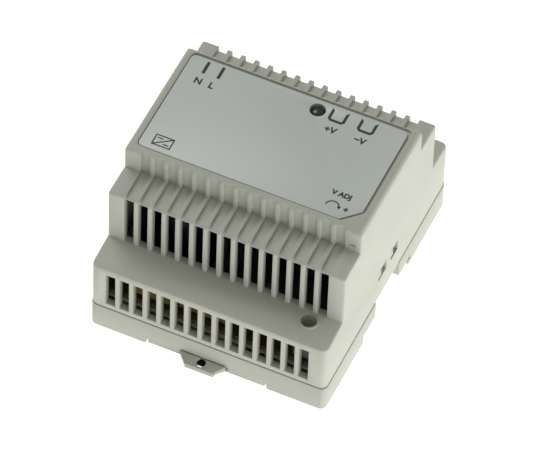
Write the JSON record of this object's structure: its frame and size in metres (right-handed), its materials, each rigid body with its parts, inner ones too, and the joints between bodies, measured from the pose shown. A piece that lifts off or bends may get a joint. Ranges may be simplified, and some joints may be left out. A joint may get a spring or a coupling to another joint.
{
  "type": "din rail power supply",
  "caption": "Stepped light grey power supply that clips onto a 35 mm mounting rail, with cooling slots, screw terminals, a status lamp and an output trimmer.",
  "frame": {"origin": "centre of the bottom face of the whole object's box, pull tab included, with the unit lying on its back", "axes": "+Z out of the front label, +Y towards the terminal edge (up on the rail), +X to the right when facing the label"},
  "size_m": [0.0786, 0.0948, 0.058],
  "materials": {
    "housing_plastic": "moulded light grey ABS/PC blend, fine satin texture",
    "clip_plastic": "moulded light grey acetal, satin",
    "label_film": "printed polyester film, satin",
    "terminal_plastic": "moulded green polyamide",
    "zinc_plated_steel": "zinc plated steel",
    "brass": "stamped brass strip",
    "aluminium": "plain sheet aluminium",
    "enamelled_copper": "enamelled copper wire, wound",
    "ferrite": "sintered dark grey ferrite",
    "board_laminate": "brown paper laminate with solder resist",
    "insulation_film": "milky polyester sheet",
    "black_resin": "moulded black epoxy",
    "blue_sleeve": "shrunk blue sleeve",
    "green_coating": "dipped green coating",
    "yellow_tape": "yellow polyester tape and boxed film",
    "brown_case": "moulded brown case",
    "green_lens": "dark green lamp lens, unlit",
    "white_nylon": "white nylon"
  },
  "bodies": {
    "housing": {"cover": "housing_plastic", "base": "housing_plastic", "front_label": "label_film", "input_terminal_block": "terminal_plastic", "output_terminal_block": "terminal_plastic", "clip_spring": "zinc_plated_steel", "board_screw_1": "zinc_plated_steel", "board_screw_2": "zinc_plated_steel", "board_screw_3": "zinc_plated_steel", "board_screw_4": "zinc_plated_steel", "heatsink_screw_1": "zinc_plated_steel", "heatsink_screw_2": "zinc_plated_steel", "contact_neutral": "brass", "contact_live": "brass", "contact_plus": "brass", "contact_minus": "brass", "primary_heatsink": "aluminium", "secondary_heatsink": "aluminium", "filter_choke_winding_1": "enamelled_copper", "filter_choke_winding_2": "enamelled_copper", "output_choke_winding": "enamelled_copper", "filter_choke_core": "ferrite", "output_choke_core": "ferrite", "transformer_core": "ferrite", "circuit_board": "board_laminate", "insulation_sheet": "insulation_film", "transformer_bobbin": "black_resin", "bridge_rectifier": "black_resin", "optocoupler": "black_resin", "controller_chip": "black_resin", "switching_transistor": "black_resin", "output_rectifier": "black_resin", "output_capacitor_1": "black_resin", "output_capacitor_2": "black_resin", "output_capacitor_3": "black_resin", "bulk_capacitor": "blue_sleeve", "varistor": "blue_sleeve", "safety_capacitor": "blue_sleeve", "trimmer_body": "blue_sleeve", "thermistor": "green_coating", "transformer_winding": "yellow_tape", "filter_capacitor_1": "yellow_tape", "filter_capacitor_2": "yellow_tape", "input_fuse": "brown_case", "status_led": "green_lens", "led_spacer": "white_nylon"},
    "rail_clip": {"rail_clip": "clip_plastic"},
    "trimmer_rotor": {"trimmer_rotor": "white_nylon"},
    "terminal_screw_neutral": {"terminal_screw_neutral": "zinc_plated_steel"},
    "clamp_neutral": {"clamp_neutral": "zinc_plated_steel"},
    "terminal_screw_live": {"terminal_screw_live": "zinc_plated_steel"},
    "clamp_live": {"clamp_live": "zinc_plated_steel"},
    "terminal_screw_plus_1": {"terminal_screw_plus_1": "zinc_plated_steel"},
    "clamp_plus_1": {"clamp_plus_1": "zinc_plated_steel"},
    "terminal_screw_plus_2": {"terminal_screw_plus_2": "zinc_plated_steel"},
    "clamp_plus_2": {"clamp_plus_2": "zinc_plated_steel"},
    "terminal_screw_minus_1": {"terminal_screw_minus_1": "zinc_plated_steel"},
    "clamp_minus_1": {"clamp_minus_1": "zinc_plated_steel"},
    "terminal_screw_minus_2": {"terminal_screw_minus_2": "zinc_plated_steel"},
    "clamp_minus_2": {"clamp_minus_2": "zinc_plated_steel"}
  },
  "joints": [
    {"name": "clip_slide", "type": "slide", "parent": "housing", "child": "rail_clip", "axis": [0, -1, 0], "range_m": [0, 0.004], "stiffness_N_per_m": 800, "springref_m": -0.003, "deforming": ["clip_spring"]},
    {"name": "trimmer_turn", "type": "hinge", "parent": "housing", "child": "trimmer_rotor", "pos_m": [0.0294, -0.03545, 0.019], "axis": [0, 0, 1], "range_deg": [-115, 115]},
    {"name": "screw_turn_neutral", "type": "hinge", "parent": "housing", "child": "terminal_screw_neutral", "pos_m": [-0.0304, 0.03925, 0.024], "axis": [0, 0, -1], "range_deg": [0, 1281]},
    {"name": "clamp_rise_neutral", "type": "slide", "parent": "housing", "child": "clamp_neutral", "axis": [0, 0, 1], "range_m": [0, 0.0016]},
    {"name": "screw_turn_live", "type": "hinge", "parent": "housing", "child": "terminal_screw_live", "pos_m": [-0.0254, 0.03925, 0.024], "axis": [0, 0, -1], "range_deg": [0, 1281]},
    {"name": "clamp_rise_live", "type": "slide", "parent": "housing", "child": "clamp_live", "axis": [0, 0, 1], "range_m": [0, 0.0016]},
    {"name": "screw_turn_plus_1", "type": "hinge", "parent": "housing", "child": "terminal_screw_plus_1", "pos_m": [0.0107, 0.03925, 0.024], "axis": [0, 0, -1], "range_deg": [0, 1281]},
    {"name": "clamp_rise_plus_1", "type": "slide", "parent": "housing", "child": "clamp_plus_1", "axis": [0, 0, 1], "range_m": [0, 0.0016]},
    {"name": "screw_turn_plus_2", "type": "hinge", "parent": "housing", "child": "terminal_screw_plus_2", "pos_m": [0.0157, 0.03925, 0.024], "axis": [0, 0, -1], "range_deg": [0, 1281]},
    {"name": "clamp_rise_plus_2", "type": "slide", "parent": "housing", "child": "clamp_plus_2", "axis": [0, 0, 1], "range_m": [0, 0.0016]},
    {"name": "screw_turn_minus_1", "type": "hinge", "parent": "housing", "child": "terminal_screw_minus_1", "pos_m": [0.0207, 0.03925, 0.024], "axis": [0, 0, -1], "range_deg": [0, 1281]},
    {"name": "clamp_rise_minus_1", "type": "slide", "parent": "housing", "child": "clamp_minus_1", "axis": [0, 0, 1], "range_m": [0, 0.0016]},
    {"name": "screw_turn_minus_2", "type": "hinge", "parent": "housing", "child": "terminal_screw_minus_2", "pos_m": [0.0257, 0.03925, 0.024], "axis": [0, 0, -1], "range_deg": [0, 1281]},
    {"name": "clamp_rise_minus_2", "type": "slide", "parent": "housing", "child": "clamp_minus_2", "axis": [0, 0, 1], "range_m": [0, 0.0016]}
  ],
  "couplings": [
    {"joint": "screw_turn_neutral", "follows": "clamp_rise_neutral", "rad_per_m": 13963},
    {"joint": "screw_turn_live", "follows": "clamp_rise_live", "rad_per_m": 13963},
    {"joint": "screw_turn_plus_1", "follows": "clamp_rise_plus_1", "rad_per_m": 13963},
    {"joint": "screw_turn_plus_2", "follows": "clamp_rise_plus_2", "rad_per_m": 13963},
    {"joint": "screw_turn_minus_1", "follows": "clamp_rise_minus_1", "rad_per_m": 13963},
    {"joint": "screw_turn_minus_2", "follows": "clamp_rise_minus_2", "rad_per_m": 13963}
  ]
}
